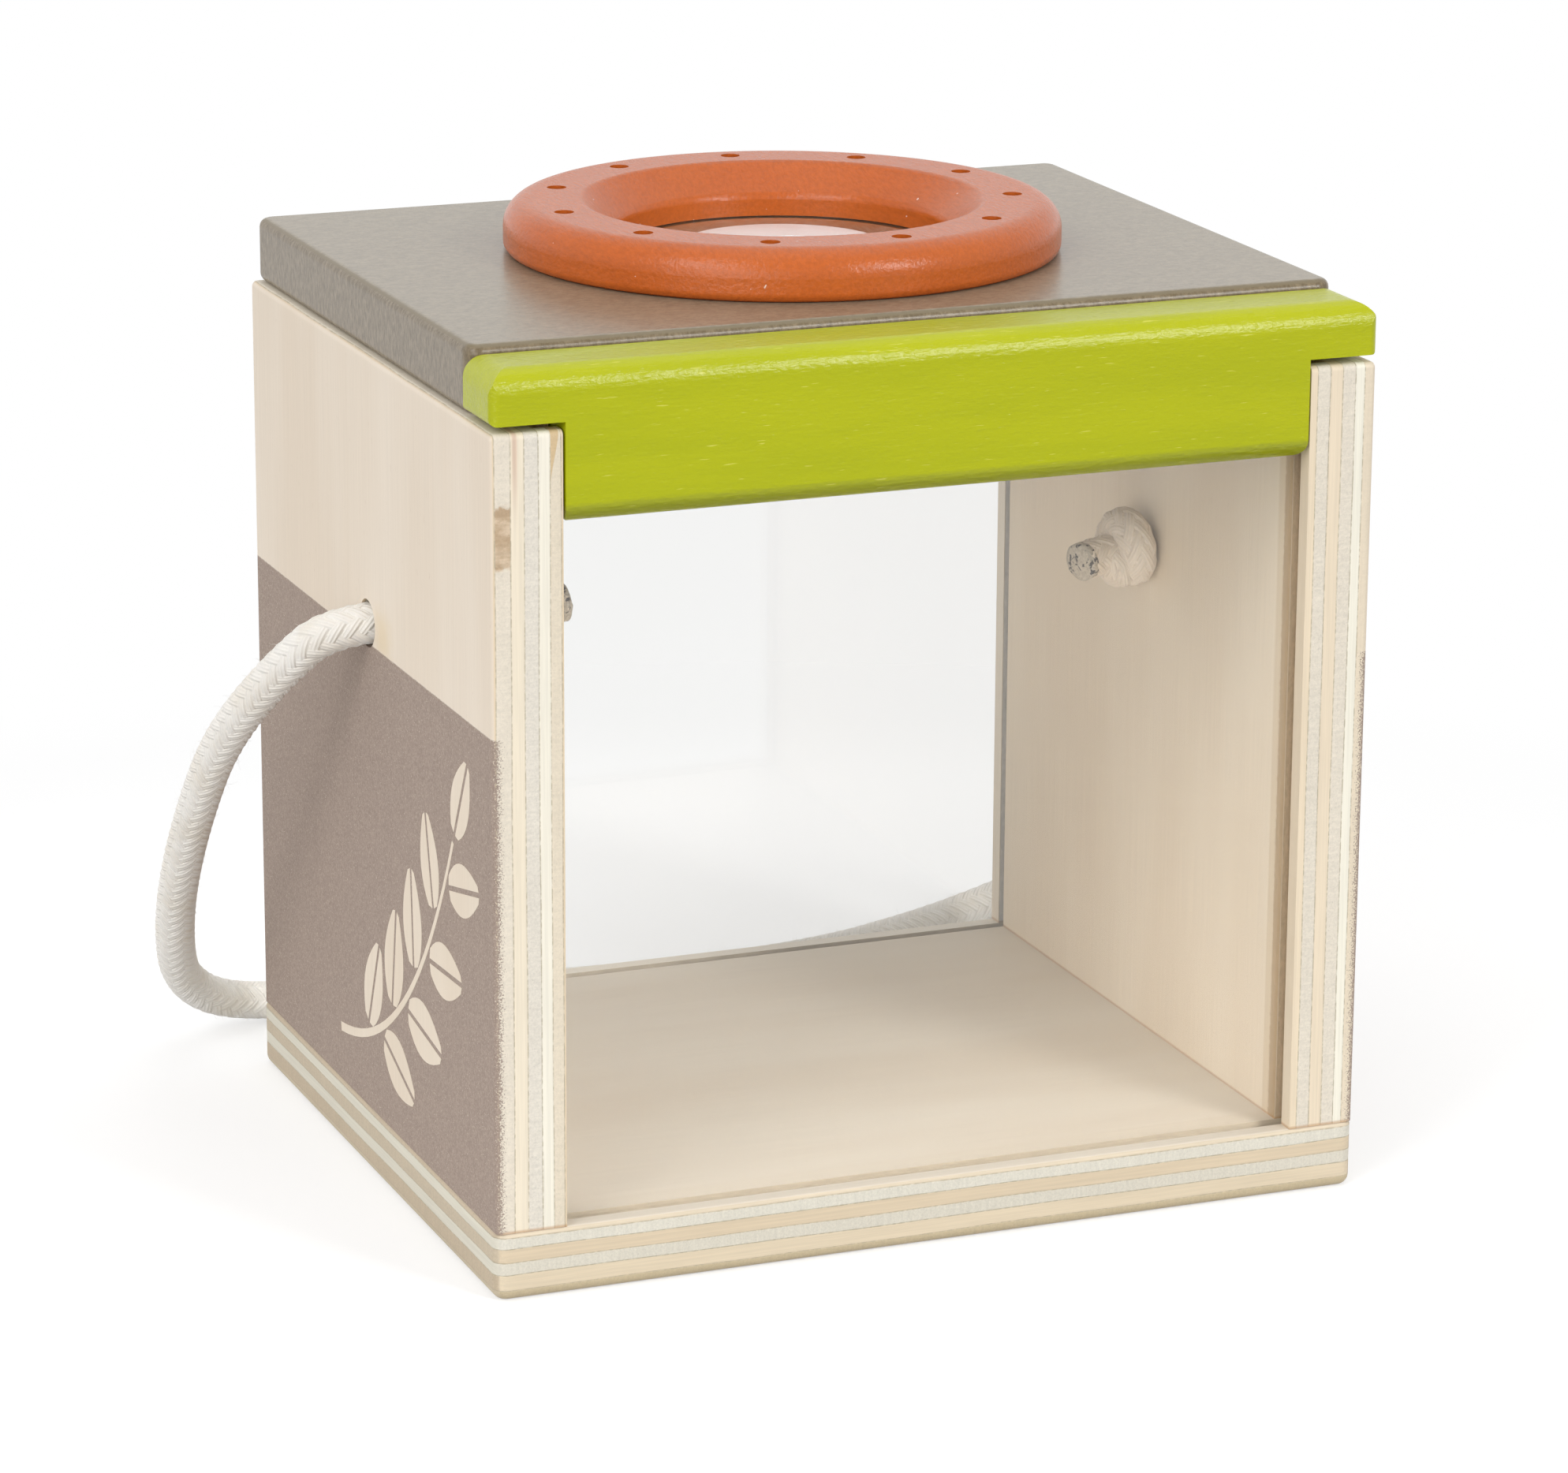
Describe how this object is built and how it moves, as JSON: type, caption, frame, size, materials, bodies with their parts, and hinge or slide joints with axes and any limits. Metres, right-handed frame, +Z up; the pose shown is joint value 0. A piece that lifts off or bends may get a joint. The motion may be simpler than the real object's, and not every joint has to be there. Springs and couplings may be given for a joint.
{
  "type": "wooden bug-viewing box",
  "caption": "Small plywood box for watching insects, with clear panes, a pane that slides up by a grip bar, a magnifier with air holes in the top and a cord handle.",
  "frame": {"origin": "middle of the base's underside, on the floor", "axes": "+X to the right, +Y to the back, +Z up; the sliding pane faces -Y"},
  "size_m": [0.1526, 0.1214, 0.1271],
  "materials": {
    "plywood": "pale birch plywood with layered edges, oiled, taupe print on the lower part of the walls",
    "dowel_wood": "plain beech",
    "clear_sheet": "clear, polished",
    "green_paint": "yellow-green satin gloss paint on wood",
    "taupe_paint": "taupe satin paint on board",
    "orange_paint": "orange satin paint on turned wood",
    "clear_lens": "clear, polished",
    "cotton_cord": "off-white braided cotton"
  },
  "bodies": {
    "box": {"base_board": "plywood", "left_wall": "plywood", "right_wall": "plywood", "base_dowels": "dowel_wood", "rear_pane": "clear_sheet", "top_panel": "taupe_paint", "panel_dowels": "dowel_wood", "magnifier_ring": "orange_paint", "magnifier_lens": "clear_lens"},
    "door": {"front_pane": "clear_sheet", "door_bar": "green_paint"},
    "handle": {"handle_cord": "cotton_cord", "left_knot": "cotton_cord", "right_knot": "cotton_cord"}
  },
  "joints": [
    {"name": "door_slide", "type": "slide", "parent": "box", "child": "door", "axis": [0, 0, 1], "range_m": [0, 0.09]},
    {"name": "handle_swing", "type": "hinge", "parent": "box", "child": "handle", "pos_m": [0, 0, 0.076], "axis": [1, 0, 0], "range_deg": [0, 150]}
  ]
}
